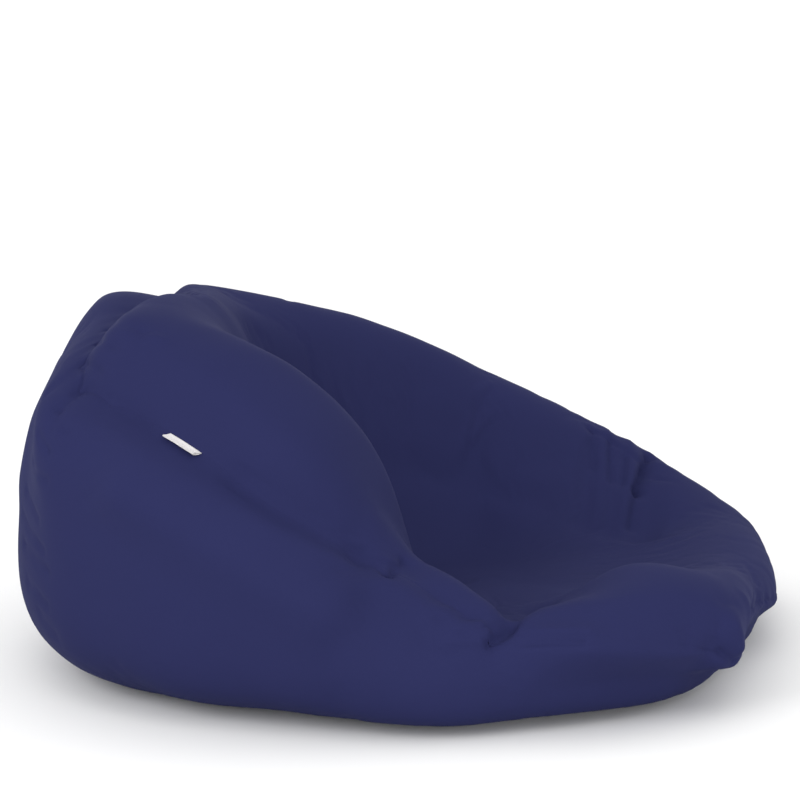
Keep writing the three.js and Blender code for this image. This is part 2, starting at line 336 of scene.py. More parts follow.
# %% Fold table
FOLD_COLUMNS = ("name", "from", "to", "width", "depth")
MAIN_FOLDS = (
    ("near rim pinch", (128, -520, 150), (160, -470, 165), 30, 17),
    ("pinch into the seat", (150, -480, 155), (200, -360, 150), 30, 14),
    ("under the near arm", (-90, -478, 272), (-20, -446, 240), 24, 9),
    ("arm to seat", (-10, -410, 222), (70, -290, 160), 34, 16),
    ("upper rim wrinkle", (38, -480, 196), (110, -505, 160), 24, 4),
    ("lower rim wrinkle", (20, -552, 165), (112, -525, 146), 22, 4),
    ("near seam valley", (-258, -474, 386), (-85, -474, 272), 36, 11),
    ("near side crown", (-430, -480, 372), (-140, -543, 212), 52, -24),
    ("near rim crown", (-45, -466, 250), (100, -505, 172), 36, -11),
    ("near foot corner", (461, -462, 90), (400, -500, 72), 26, 10),
    ("foot end dent", (440, -300, 190), (330, -260, 165), 60, 10),
    ("far wall, first gather", (345, 350, 285), (320, 200, 168), 26, 9),
    ("far wall, second gather", (395, 350, 270), (365, 190, 156), 26, 11),
    ("far wall, third gather", (462, 345, 240), (425, 180, 145), 34, 16),
    ("far wall to seat", (150, 370, 400), (110, 190, 180), 60, 12),
    ("back meets seat", (-95, -120, 205), (-110, 120, 205), 55, 18),
    ("back, near crease", (-240, -170, 500), (-110, -130, 240), 45, 12),
    ("back, far crease", (-260, 130, 520), (-100, 140, 230), 55, 14),
    ("far back corner", (-480, 330, 530), (-350, 250, 560), 45, 14),
    ("near back corner", (-530, -350, 505), (-400, -290, 560), 40, 10),
    ("outer back, far sag", (-640, 230, 420), (-560, 260, 60), 90, 12),
    ("outer back, near sag", (-660, -60, 480), (-640, -120, 120), 80, 6),
    ("outer back, near crown", (-634, -190, 425), (-642, -205, 350), 58, -9),
    ("outer side sag", (-180, -520, 260), (60, -560, 90), 70, 6),
    ("far side sag", (-150, 600, 330), (250, 590, 120), 80, 10),
)
LEAST_AREA = 1e-12


def fold_depth(points, folds, crisp=2.0):
    """How deep the folds press the cloth in at each point. Crisp 2 is a soft valley, 1 a sharp one."""
    depth = np.zeros(points.shape[:-1])
    for row in folds:
        fold = dict(zip(FOLD_COLUMNS, row))
        start, end = np.array(fold["from"]) * MM, np.array(fold["to"]) * MM
        span = end - start
        share = np.clip((points - start) @ span / (span @ span), 0, 1)
        away = np.linalg.norm(points - start - share[..., None] * span, axis=-1)
        depth += fold["depth"] * MM * np.exp(-((away / (fold["width"] * MM)) ** crisp))
    return depth


def normals_of(columns):
    """Outward normals of a grid of samples by columns, the columns closing on themselves."""
    along = np.gradient(columns, axis=0)
    around = np.roll(columns, -1, axis=1) - np.roll(columns, 1, axis=1)
    normal = np.cross(around, along)
    normal[-1] = (0, 0, 1)
    return normal / np.maximum(np.linalg.norm(normal, axis=-1, keepdims=True), LEAST_AREA)


def pressed(columns, depth):
    """The columns pressed in along their normals. Cloth that lies on the floor stays there."""
    moved = columns - normals_of(columns) * (depth * (columns[..., 2] > 0))[..., None]
    moved[..., 2] = np.maximum(moved[..., 2], 0)
    return moved


FORM = pressed(PLAIN, fold_depth(PLAIN, MAIN_FOLDS))
print("form's box:", FORM.reshape(-1, 3).min(0).round(3), FORM.reshape(-1, 3).max(0).round(3))

# %% [markdown]
# ## Measuring along the cloth
# A seamstress measures from the seam. Each column is split there into the outer panel, which runs down
# to the floor, and the seat panel, which runs over the crest to the middle of the seat. A ring of the
# mesh is then a line at a chosen distance from the seam, with rings close together at the stitches and
# wider apart further out.

# %% Distances from the seam
SEAM_SAMPLE = SEAM * SAMPLES
OUTER = FORM[SEAM_SAMPLE::-1]
SEAT_PANEL = FORM[SEAM_SAMPLE:]


def run_along(columns):
    """Distance from the seam of each sample, along its column."""
    steps = np.linalg.norm(np.diff(columns, axis=0), axis=-1)
    return np.concatenate([np.zeros((1, columns.shape[1])), np.cumsum(steps, axis=0)])


RUNS = {"outer": run_along(OUTER), "seat": run_along(SEAT_PANEL)}
PANELS = {"outer": OUTER, "seat": SEAT_PANEL}
EVENEST = 0.8  # rings on a short panel are spaced this evenly at most
LEAST_STEP = 1e-9


def ring_distance(share, length, first):
    """How far from the seam a ring lies. At the seam rings are as close as on a panel that is first long."""
    first = np.minimum(first, EVENEST * length)
    return first * share + (length - first) * share**2


def ring_share(distance, length, first):
    """The share whose ring lies that far from the seam."""
    first = np.minimum(first, EVENEST * length)
    rest = length - first
    return (np.sqrt(first**2 + 4 * rest * distance) - first) / (2 * rest)


def at_distance(values, panel, distance, every):
    """Values at a distance from the seam, in every so many columns of a panel."""
    run, points = RUNS[panel][:, ::every], values[:, ::every]
    upper = np.clip((run < distance).sum(axis=0), 1, len(run) - 1)
    column = np.arange(run.shape[1])
    low, high = run[upper - 1, column], run[upper, column]
    share = np.clip((distance - low) / np.maximum(high - low, LEAST_STEP), 0, 1)[:, None]
    return points[upper - 1, column] * (1 - share) + points[upper, column] * share


for panel, run in RUNS.items():
    print(panel, "panel reaches", run[-1].min().round(3), "to", run[-1].max().round(3), "m from the seam")

# %% [markdown]
# ## Joining rings into a mesh
# The mesh is a stack of rings. Where the next ring has twice or half as many points, three triangles
# take the place of one quad, so the mesh can be dense along the stitches and plain at the two poles,
# under the bag and in the seat.

# %% Mesh from rings
UNDERSIDE_SHARES = (0.25, 0.5, 0.7, 0.85, 0.95)
POLE_POINTS = 35  # a ring with no more points than this isn't halved
FULL_TO = {"under": 0.2, "seat": 0.84}  # share of the way to the pole up to which a ring is whole
ON_FLOOR = (1, 1, 0)


def joined(*corners):
    """Faces from arrays of their first corners, their second corners and so on."""
    return np.stack(corners, axis=-1).tolist()


def faces_between(low, high, low_count, high_count):
    """Faces from one ring or pole up to the next, whose first vertices are low and high."""
    if min(low_count, high_count) == 1:
        here = np.arange(max(low_count, high_count))
        after = (here + 1) % len(here)
        if low_count == 1:
            return joined(low + 0 * here, high + after, high + here)
        return joined(low + here, low + after, high + 0 * here)
    here = np.arange(min(low_count, high_count))
    after = (here + 1) % len(here)
    odd = 2 * here + 1
    if low_count == high_count:
        return joined(low + here, low + after, high + after, high + here)
    if high_count > low_count:
        parts = (
            (low + here, high + odd, high + 2 * here),
            (low + here, low + after, high + odd),
            (low + after, high + 2 * after, high + odd),
        )
    else:
        parts = (
            (low + 2 * here, low + odd, high + here),
            (low + odd, high + after, high + here),
            (low + odd, low + 2 * after, high + after),
        )
    return [face for part in parts for face in joined(*part)]


def new_piece(name, points, faces):
    """A new object in the scene, with a mesh of these points and faces."""
    mesh = bpy.data.meshes.new(name)
    mesh.from_pydata(points.tolist(), [], faces)
    mesh.update()
    piece = bpy.data.objects.new(name, mesh)
    bpy.context.scene.collection.objects.link(piece)
    return piece


def mesh_from_rings(name, rings):
    """A closed piece from its rings, each end ring being one point. Also the ring under each face."""
    counts = [len(ring) for ring in rings]
    starts = np.append(0, np.cumsum(counts))
    faces, rows = [], []
    for i in range(len(rings) - 1):
        new = faces_between(starts[i], starts[i + 1], counts[i], counts[i + 1])
        faces += new
        rows += [i] * len(new)
    return new_piece(name, np.concatenate(rings), faces), np.array(rows)


def skip_at(count, share, pole):
    """Of how many points a ring keeps one, at a share of the way to the pole. Rings thin out by halves."""
    left, full_to = count, FULL_TO[pole]
    while share > full_to and left > POLE_POINTS and left % 2 == 0:
        left //= 2
        full_to = 1 - (1 - full_to) / 2
    return count // left


def underside(every):
    """Rings under the bag from its middle outwards, each with its distances from there."""
    floor = OUTER[-1, ::every]
    run = np.linalg.norm(floor - MIDDLE, axis=-1)
    made = [(MIDDLE[None, :] * ON_FLOOR, np.zeros(1))]
    for share in UNDERSIDE_SHARES:
        skip = skip_at(len(floor), 1 - share, "under")
        ring = (MIDDLE + (floor - MIDDLE) * share) * ON_FLOOR
        made.append((ring[::skip], (run * share)[::skip]))
    return made


print("rings under the bag:", len(UNDERSIDE_SHARES))

# %% [markdown]
# ## Letting the cloth settle
# A cover is cut a little too large in places: along the curved seam, at the four corners and where the
# seat panel turns in. The filling pushes that spare cloth into soft puckers. Blender's cloth simulation
# makes them: the form is held by weak pins, the filling is an outward pressure, and a vertex group says
# where the cloth is cut larger. The floor side is pinned fast, since it is pressed flat.

# %% Coarse cover for the simulation
SIM_EVERY = 8
SIM_OUTER_RINGS = 34
SIM_SEAT_RINGS = 44
SIM_FIRST = 0.3  # metres: the panel length for which the rings at the seam are spaced


def sim_rings():
    """The coarse rings from under the bag to the seat, with each ring's panel and share."""
    rings = [points for points, _ in underside(SIM_EVERY)]
    places = [("under", 0.0)] * len(rings)
    outer = [("outer", step / SIM_OUTER_RINGS) for step in range(SIM_OUTER_RINGS, 0, -1)]
    seat = [("seat", step / SIM_SEAT_RINGS) for step in range(SIM_SEAT_RINGS)]
    for panel, share in outer + seat:
        distance = ring_distance(share, RUNS[panel][-1, ::SIM_EVERY], SIM_FIRST)
        skip = 1 if panel == "outer" else skip_at(COLUMNS // SIM_EVERY, share, "seat")
        rings.append(at_distance(PANELS[panel], panel, distance, SIM_EVERY)[::skip])
        places.append((panel, share))
    rings.append(SEAT_PANEL[-1, :1])
    places.append(("seat", 1.0))
    return rings, places


rings, places = sim_rings()
sim_cover, _ = mesh_from_rings("sim_cover", rings)
print("coarse cover:", len(sim_cover.data.vertices), "points,", len(sim_cover.data.polygons), "faces")

# %% [markdown]
# The spare cloth lies along the seam, most of all near the four corners of the cut panels, which now
# point to the two ends of the back and the two ends of the foot. There is more of it where the seat
# panel is pushed in round the hollow.

# %% Spare cloth
CORNERS = {"near back": 205, "far back": 150, "far foot": 36, "near foot": 318}
CORNER_SPREAD = 14  # degrees
SPARE_REACH = 0.16
SPARE_SEAM = 0.35
SPARE_HOLLOW, HOLLOW_REACH = 0.5, 0.1
USUAL_CREST = 420  # how far out the crest is as a rule, in millimetres
NOT_NEAR = 1.0


def sim_from_seam(i):
    """Distance from the seam of each point of a coarse ring. Under the bag there is no spare cloth."""
    panel, share = places[i]
    count = len(rings[i])
    if panel == "under":
        return np.full(count, NOT_NEAR)
    return ring_distance(share, RUNS[panel][-1, :: COLUMNS // count], SIM_FIRST)


def spare_cloth(points):
    """Where the cover is cut larger, from 0 to 1, by point: by the seam, at the corners and in the hollow."""
    offset = points - MIDDLE
    degrees = np.degrees(np.arctan2(offset[:, 1], offset[:, 0])) % 360
    corner = np.zeros(len(points))
    for at in CORNERS.values():
        turn = (degrees - at + 180) % 360 - 180
        corner = np.maximum(corner, np.exp(-((turn / CORNER_SPREAD) ** 2)))
    from_seam = np.concatenate([sim_from_seam(i) for i in range(len(rings))])
    beside_seam = np.exp(-((from_seam / SPARE_REACH) ** 2)) * (SPARE_SEAM + (1 - SPARE_SEAM) * corner)
    hollow_out = HOLLOW_BASE + HOLLOW_OUT * USUAL_CREST * MM
    in_hollow = np.exp(-(((np.hypot(offset[:, 0], offset[:, 1]) - hollow_out) / HOLLOW_REACH) ** 2))
    on_seat = np.repeat([panel == "seat" for panel, _ in places], [len(ring) for ring in rings])
    return np.maximum(beside_seam, SPARE_HOLLOW * in_hollow * on_seat)


REST = np.concatenate(rings)
SPARE = spare_cloth(REST)
print("spare cloth on average:", SPARE.mean().round(2))

# %% [markdown]
# In the simulation a pin holds each point to its form, and the pins are weakest where the cloth is
# spare. The shrink factors are below zero, because the spare cloth is longer than the form that it
# covers. Thirty frames are enough for the puckers to settle.

# %% Cloth simulation
SIM_FRAMES = 30
HOLD_FIRM, HOLD_LOOSE = 0.18, 0.09
LIES_FLAT = 1e-4
CLOTH_SETTINGS = {
    "quality": 6,
    "mass": 0.25,
    "air_damping": 4,
    "tension_stiffness": 30,
    "compression_stiffness": 30,
    "shear_stiffness": 12,
    "bending_model": "ANGULAR",
    "bending_stiffness": 0.05,
    "vertex_group_mass": "held",
    "pin_stiffness": 1,
    "vertex_group_shrink": "spare",
    "shrink_min": -0.006,
    "shrink_max": -0.18,
    "use_pressure": True,
    "uniform_pressure_force": 1.4,
}


def weigh(piece, name, weights):
    """A vertex group with a weight for each vertex, in hundredths."""
    group = piece.vertex_groups.new(name=name)
    hundredths = np.rint(weights * 100)
    for step in range(101):
        chosen = np.flatnonzero(hundredths == step)
        if len(chosen):
            group.add(chosen.tolist(), step / 100, "REPLACE")


def settle(piece):
    """Runs the cloth simulation and returns how far each point moved."""
    held = np.where(REST[:, 2] < LIES_FLAT, 1.0, HOLD_FIRM + (HOLD_LOOSE - HOLD_FIRM) * SPARE)
    weigh(piece, "held", held)
    weigh(piece, "spare", SPARE)
    cloth = piece.modifiers.new("cover cloth", "CLOTH")
    for name, value in CLOTH_SETTINGS.items():
        setattr(cloth.settings, name, value)
    cloth.settings.effector_weights.gravity = 0
    cloth.collision_settings.use_collision = False
    cloth.point_cache.frame_start = 1
    cloth.point_cache.frame_end = SIM_FRAMES
    for number in range(1, SIM_FRAMES + 1):
        bpy.context.scene.frame_set(number)
    evaluated = piece.evaluated_get(bpy.context.evaluated_depsgraph_get())
    settled = np.zeros(REST.size)
    evaluated.data.vertices.foreach_get("co", settled)
    return settled.reshape(-1, 3) - REST


moved = settle(sim_cover)
print("cloth moved by", (np.linalg.norm(moved, axis=-1).mean() / MM).round(2), "mm on average")

# %% [markdown]
# The frame's form stays, so only the puckers of the settled cloth are kept: the even swelling, which is
# the movement blurred over a hand's width, is taken off again. What is left fades out towards the
# middle of the seat.

# %% Puckers of the settled cloth
BLUR_POINTS = 6
BLUR_ENDS = 3  # how many widths out the blur is cut off
MOST_MOVED = 14 * MM
CALM_ROWS = 18  # rows round the seat's middle over which the puckers fade out


def curve_through(before, start, end, after, share):
    """Uniform Catmull-Rom curve from start to end."""
    bend = 2 * before - 5 * start + 4 * end - after
    twist = 3 * (start - end) + after - before
    return 0.5 * (2 * start + (end - before) * share + bend * share**2 + twist * share**3)


def more_columns(row, count):
    """A closed row of values, smoothly spread over more columns."""
    place = np.arange(count) * len(row) / count
    low = np.floor(place).astype(int)
    around = [row[(low + step) % len(row)] for step in (-1, 0, 1, 2)]
    return curve_through(*around, (place - low)[:, None])


def settled_rows():
    """Movement by coarse row, from the floor over the seam to the seat, each row with all its columns."""
    rows, start = [], 0
    for ring, (panel, _) in zip(rings, places):
        row = moved[start : start + len(ring)]
        start += len(ring)
        if panel != "under":
            rows.append(more_columns(row, COLUMNS // SIM_EVERY))
    return np.array(rows)


def blurred(rows, width):
    """Rows of movement blurred over a width of so many points, round the bag and across the rows."""
    waves = np.fft.fftfreq(rows.shape[1])
    keep = np.exp(-2 * (math.pi * waves * width) ** 2)[None, :, None]
    around = np.fft.ifft(np.fft.fft(rows, axis=1) * keep, axis=1).real
    ends = BLUR_ENDS * width
    steps = np.arange(-ends, ends + 1)
    share = np.exp(-0.5 * (steps / width) ** 2)
    share /= share.sum()
    wide = np.pad(around, ((ends, ends), (0, 0), (0, 0)), mode="edge")
    return np.array([np.tensordot(share, wide[i : i + len(steps)], 1) for i in range(len(rows))])


def capped(rows, most):
    """Rows of movement, none longer than most, with a soft knee."""
    far = np.linalg.norm(rows, axis=-1, keepdims=True)
    return rows * (np.tanh(far / most) * most / np.maximum(far, LEAST_STEP))


def kept_puckers():
    """The movement that is kept, by coarse row and column."""
    settled = settled_rows()
    calm = np.clip(np.arange(len(settled))[::-1] / CALM_ROWS, 0, 1) ** 2
    return capped(settled - blurred(settled, BLUR_POINTS), MOST_MOVED) * calm[:, None, None]


SETTLED = kept_puckers()
print("puckers on average:", (np.linalg.norm(SETTLED, axis=-1).mean() / MM).round(2), "mm")

# %% [markdown]
# The puckers are carried over to the fine cover by smooth interpolation between the coarse points,
# round the bag and away from the seam. Less of them is kept on the near side, which is pulled taut in
# the photograph.

# %% Movement carried to the fine columns
PUCKERS_KEPT = {
    "outer": ((0, 0.7), (40, 1.0), (204, 1.0), (222, 0.3), (318, 0.3), (340, 0.6)),
    "seat": ((0, 0.8), (40, 1.0), (204, 1.0), (222, 0.6), (300, 0.6), (330, 0.8)),
}
SETTLED_BY = {
    every: np.array([more_columns(row, COLUMNS // every) for row in SETTLED])
    for every in (1, 2, 4)
}


def around_table(table, degrees):
    """Values of a table of (degrees, value) rows, joined by straight lines round the bag."""
    at, values = np.array(table).T
    return np.interp(degrees, at, values, period=360)


def settled_at(panel, share, every):
    """Movement of a fine ring whose points lie at these shares of the way out from the seam."""
    kept = around_table(PUCKERS_KEPT[panel], DIRECTIONS[::every])[:, None]
    rows = SETTLED_BY[every]
    place = SIM_OUTER_RINGS + share * (-SIM_OUTER_RINGS if panel == "outer" else SIM_SEAT_RINGS)
    low = np.clip(np.floor(place).astype(int), 0, len(rows) - 2)
    column = np.arange(rows.shape[1])
    around = [rows[np.clip(low + step, 0, len(rows) - 1), column] for step in (-1, 0, 1, 2)]
    return curve_through(*around, (place - low)[:, None]) * kept


print("fine columns:", [rows.shape[1] for rows in SETTLED_BY.values()])

# %% [markdown]
# ## Puckers along the seam
# A straight seam on a curved, filled bag can't lie smooth: between the stitches' pull and the filling's
# push the cloth makes short valleys that start at the seam and fade away from it. They are deepest at
# the two far corners of the panels and hardly there on the taut near side. Each valley gets its own
# place, depth, width, reach and lean from a seeded draw.

# %% Seam puckers
PUCKER_STRENGTH = (
    (0, 0.45), (36, 1.0), (60, 0.6), (85, 0.8), (112, 0.5), (150, 1.0), (180, 0.8), (194, 0.8), (204, 0.7),
    (212, 0.35), (218, 0.12), (242, 0.08), (252, 0.08), (264, 0.2), (290, 0.12), (312, 0.35), (340, 0.4),
)
PUCKER_GAP = (0.028, 0.066)
PUCKER_DEPTH = (1.2 * MM, 4.2 * MM)
PUCKER_WIDTH = (7 * MM, 15 * MM)
PUCKER_REACH = {"outer": (0.03, 0.10), "seat": (0.04, 0.13)}
PUCKER_LEAN = 0.35
PUCKER_SEED = 31
PUCKER_SHORTEST = 0.4  # the weakest puckers reach this share of the way
PUCKER_WIDENS = 0.5
PUCKER_FADES = 1.5
RUN_OF_COLUMN = np.arange(COLUMNS) * float(ROUND_LENGTH) / COLUMNS


def draw_puckers():
    """One row for each pucker: place along the seam, depth, width, and reach and lean on both panels."""
    draw = np.random.default_rng(PUCKER_SEED)
    puckers, place = [], 0.0
    while place < ROUND_LENGTH - PUCKER_GAP[0]:
        strength = around_table(PUCKER_STRENGTH, np.interp(place, RUN_OF_COLUMN, DIRECTIONS))
        reaches = PUCKER_SHORTEST + (1 - PUCKER_SHORTEST) * strength
        row = {"place": place}
        row["depth"] = draw.uniform(*PUCKER_DEPTH) * strength
        row["width"] = draw.uniform(*PUCKER_WIDTH)
        for panel, reach in PUCKER_REACH.items():
            row[panel] = (draw.uniform(*reach) * reaches, draw.uniform(-PUCKER_LEAN, PUCKER_LEAN))
        puckers.append(row)
        place += draw.uniform(*PUCKER_GAP)
    return puckers


PUCKERS = draw_puckers()


def pucker_depth(panel, distance, every):
    """How deep the puckers press in a ring's points, which lie at these distances from the seam."""
    run = RUN_OF_COLUMN[::every]
    depth = np.zeros(len(run))
    for pucker in PUCKERS:
        reach, lean = pucker[panel]
        aside = run - pucker["place"] - lean * distance
        aside = (aside + ROUND_LENGTH / 2) % ROUND_LENGTH - ROUND_LENGTH / 2
        width = pucker["width"] * (1 + distance / reach * PUCKER_WIDENS)
        depth += pucker["depth"] * np.exp(-((aside / width) ** 2) - (distance / reach) ** PUCKER_FADES)
    return depth


print(len(PUCKERS), "puckers along the seam")

# %% [markdown]
# ## Stitches and small folds
# The two panels are stitched right sides together and turned, so from outside the seam is a fine valley
# with a small ripple at every few stitches. The photograph also shows crisp small folds: where the
# near arm ends, beside the pressed rim's dimple, on the foot's small bulge, in the notches of the seam at
# the backrest's corner, down the back's edge and on the far wall. They are listed with their places, as
# the main folds are, and a depth below zero is a ridge.

# %% Small folds
SMALL_FOLDS = (
    ("arm end, long edge", (-78, -470, 274), (-38, -484, 244), 5, 7.0),
    ("arm end, short edge", (-38, -484, 244), (-16, -434, 252), 6, 8.0),
    ("arm end, lip", (-60, -458, 268), (-26, -446, 252), 9, -4.0),
    ("arm end, lower crease", (-44, -486, 243), (-112, -524, 262), 11, 3.5),
    ("side crown's foot", (-112, -524, 262), (-170, -548, 244), 14, 1.5),
    ("side crown's tail", (-135, -546, 202), (-15, -549, 158), 48, -8.0),
    ("rim dimple", (150, -502, 162), (114, -527, 148), 7, 13.0),
    ("rim wrinkle one", (36, -529, 183), (102, -502, 182), 7, 3.5),
    ("rim wrinkle two", (62, -536, 165), (112, -512, 168), 4, 2.5),
    ("rim wrinkle three", (40, -545, 145), (116, -530, 140), 8, 2.5),
    ("rim ridge one", (22, -524, 194), (75, -492, 198), 8, -3.0),
    ("rim ridge two", (64, -533, 171), (114, -507, 174), 6, -3.5),
    ("rim ridge three", (60, -538, 160), (110, -517, 163), 6, -3.5),
    ("rim ridge four", (42, -543, 154), (116, -528, 149), 6, -3.5),
    ("left of the dimple", (98, -513, 173), (114, -524, 156), 14, -7.0),
    ("right of the dimple", (176, -500, 166), (142, -526, 154), 13, -9.0),
    ("rim's notch, right side", (200, -445, 166), (188, -482, 166), 16, -9.0),
    ("rim's notch, left side", (150, -455, 172), (166, -405, 160), 14, 7.0),
    ("foot ridge", (130, -518, 163), (262, -534, 170), 15, -10.0),
    ("under the foot ridge", (112, -530, 149), (252, -541, 153), 7, 5.0),
    ("above the nub", (482, -408, 177), (512, -385, 174), 12, 5.0),
    ("beside the foot tip", (530, -328, 168), (540, -332, 138), 16, -5.0),
    ("nub, inner edge", (474, -433, 156), (470, -440, 130), 12, 3.0),
    ("nub, lower edge", (478, -436, 110), (501, -412, 86), 9, 7.0),
    ("nub", (498, -415, 142), (507, -407, 108), 22, -13.0),
    ("foot tip", (560, -300, 168), (600, -200, 158), 26, -5.0),
    ("back corner crease", (-520, -356, 512), (-552, -388, 486), 7, 5.0),
    ("back corner crease, lower", (-552, -388, 486), (-562, -404, 458), 9, 5.5),
    ("back corner ridge", (-562, -404, 462), (-538, -425, 441), 8, -3.0),
    ("above the corner ridge", (-560, -402, 478), (-536, -424, 452), 7, 4.5),
    ("seam notch one", (-425, -338, 596), (-475, -285, 598), 9, 7.0),
    ("seam notch two", (-470, -345, 578), (-505, -285, 580), 9, 6.0),
    ("seam notch three", (-495, -352, 540), (-530, -300, 550), 9, 5.0),
    ("ridge from the first notch", (-450, -332, 600), (-395, -347, 590), 8, -3.0),
    ("seam valley to the label", (-529, -351, 526), (-400, -428, 466), 13, 3.5),
    ("back edge, first", (-582, -385, 444), (-566, -408, 420), 6, 5.0),
    ("back edge, second", (-608, -322, 392), (-572, -400, 374), 6, 5.0),
    ("back edge, third", (-624, -274, 332), (-596, -345, 302), 6, 5.0),
    ("back edge, fourth", (-638, -250, 286), (-590, -350, 252), 6, 5.0),
    ("back edge, fifth", (-634, -262, 242), (-584, -354, 216), 6, 5.0),
    ("back edge, sixth", (-628, -277, 182), (-586, -348, 160), 6, 5.0),
    ("back edge, seventh", (-606, -312, 136), (-574, -352, 112), 10, 4.0),
    ("far wall, gather one", (352, 388, 312), (345, 320, 250), 6, 6.0),
    ("far wall, gather two", (385, 378, 291), (380, 306, 228), 6, 7.0),
    ("far wall, gather three", (413, 361, 266), (400, 300, 226), 6, 8.0),
    ("far wall, deep gather", (463, 398, 262), (431, 299, 212), 10, 20.0),
    ("deep gather's tail", (431, 299, 212), (408, 215, 156), 10, 10.0),
    ("far rim, low crease", (466, 345, 226), (505, 338, 212), 6, 5.0),
    ("far rim crease", (344, 388, 316), (400, 378, 286), 5, 4.0),
    ("far rim crease, lower", (400, 378, 286), (436, 361, 258), 5, 4.0),
    ("far rim, first bump", (379, 396, 303), (388, 430, 314), 13, -5.0),
    ("far rim, second bump", (421, 392, 282), (430, 428, 292), 12, -5.0),
    ("far rim, third bump", (463, 401, 263), (472, 424, 268), 10, -4.0),
    ("seat to back, near", (-86, -150, 215), (-160, -230, 330), 14, 4.0),
    ("seat to back, middle", (-90, -60, 200), (-96, 60, 204), 12, 4.0),
    ("seat to back, far", (-92, 120, 214), (-170, 190, 330), 14, 4.0),
)
print(len(SMALL_FOLDS), "small folds")

# %% [markdown]
# The seam doesn't show equally everywhere. The first table says how clearly its groove and ripples can
# be seen in each direction, from 0 to 1. The second says how much it strays from its line, in arcs
# between the tightest stitches, which only the photograph's back corner has in full.

# %% The seam's own form
SEAM_SHOWS = (
    (0, 0.5), (36, 0.9), (60, 0.6), (112, 0.6), (150, 0.9), (180, 0.8), (192, 1.0), (206, 0.7), (211, 0.4),
    (218, 0.3), (222, 0.3), (228, 0.15), (238, 0.1), (262, 0.04), (276, 0.1), (296, 0.1), (320, 0.3),
    (340, 0.4),
)
SCALLOPS = (
    (0, 0.3), (36, 0.5), (60, 0.2), (112, 0.2), (150, 0.6), (180, 0.7), (192, 1.5), (206, 1.5),
    (215, 0.2), (218, 0.0), (226, 0.0), (250, 0.1), (290, 0.1), (318, 0.4), (340, 0.3),
)
SCALLOP_LENGTH, SCALLOP_HEIGHT, SCALLOP_REACH = 64 * MM, 5.5 * MM, 30 * MM
SCALLOP_TOP = 1.3
SCALLOP_UNEVEN, SCALLOP_CYCLES = 0.9, 7
GROOVE_DEPTH, GROOVE_WIDTH = 2.4 * MM, 2.6 * MM
DRAW_DEPTH, DRAW_WIDTH, DRAW_FADES = 6 * MM, 17 * MM, 1.5
RIPPLE_LENGTH, RIPPLE_DEPTH, RIPPLE_REACH = 15 * MM, 0.55 * MM, 9 * MM
RIPPLE_UNEVEN = ((1.3, 37, 1), (0.9, 61, 2))  # rows of size, cycles round the bag and start
LUMP_SIZE, LUMP_HEIGHT = 0.17, 2.2 * MM
FINER_LUMPS, FINER_SHARE = 2.3, 0.4


def half_waves(length, every):
    """How many waves of about this length go round the bag, and half the phase of each column."""
    count = round(float(ROUND_LENGTH) / length)
    return count, math.pi * count * RUN_OF_COLUMN[::every] / float(ROUND_LENGTH)


def seam_wander(every):
    """How far the seam strays onto the outer panel, in the shallow arcs between its tightest stitches."""
    count, phase = half_waves(SCALLOP_LENGTH, every)
    arc = np.abs(np.sin(phase + SCALLOP_UNEVEN * np.sin(2 * phase / count * SCALLOP_CYCLES)))
    return SCALLOP_HEIGHT * around_table(SCALLOPS, DIRECTIONS[::every]) * (SCALLOP_TOP - 2 * arc)


def stitch_ripple(distance, every):
    """Height of the small ripples that the stitches draw into the cloth beside the seam."""
    count, half = half_waves(RIPPLE_LENGTH, every)
    phase = 2 * half
    uneven = sum(size * np.sin(phase / count * cycles + start) for size, cycles, start in RIPPLE_UNEVEN)
    shows = around_table(SEAM_SHOWS, DIRECTIONS[::every])
    return RIPPLE_DEPTH * shows * np.sin(phase + uneven) * np.exp(-distance / RIPPLE_REACH)


def draw_in(distance, every):
    """How far the stitches pull the cloth in, by distance from the seam."""
    strength = around_table(PUCKER_STRENGTH, DIRECTIONS[::every])
    shows = around_table(SEAM_SHOWS, DIRECTIONS[::every])
    wide = DRAW_DEPTH * strength * np.exp(-((distance / DRAW_WIDTH) ** DRAW_FADES))
    return wide + GROOVE_DEPTH * shows * np.exp(-((distance / GROOVE_WIDTH) ** 2))


def lumps(points):
    """The filling's slight unevenness under the cloth."""
    places = [Vector(point) / LUMP_SIZE for point in points]
    heights = [noise.noise(place) + FINER_SHARE * noise.noise(place * FINER_LUMPS) for place in places]
    return LUMP_HEIGHT * np.array(heights)


print("the seam strays by up to", round(float(seam_wander(1).max() / MM), 1), "mm")

# %% [markdown]
# ## The finished cover
# Now the fine rings. Near the stitches they lie about a millimetre apart and have a point every
# 1.8 mm. Away from them a point every 7 mm is enough for cloth that is pushed smooth.

# %% Fine cover
OUTER_RINGS, SEAT_RINGS = 88, 112
FIRST = 0.12  # metres: the same for the finished cover
DENSE_RINGS, MIDDLE_RINGS = 5, 8
WIDEST = 4  # away from the seam a ring has a point at every fourth column
SMALL_CRISP = 1.5
RISE_FREE = 20 * MM  # the small forms fade out over this height above the floor
NORMALS = normals_of(FORM)
NORMALS_OF = {"outer": NORMALS[SEAM_SAMPLE::-1], "seat": NORMALS[SEAM_SAMPLE:]}


def every_at(step):
    """Which columns a fine ring uses that lies so many steps from the seam."""
    return 1 if step <= DENSE_RINGS else 2 if step <= MIDDLE_RINGS else WIDEST


def across_seam(values, panel, distance, every):
    """Values at a distance from the plain seam. A negative distance lies on the other panel."""
    other = "seat" if panel == "outer" else "outer"
    here = at_distance(values[panel], panel, np.maximum(distance, 0), every)
    there = at_distance(values[other], other, np.maximum(-distance, 0), every)
    return np.where(distance[:, None] < 0, there, here)


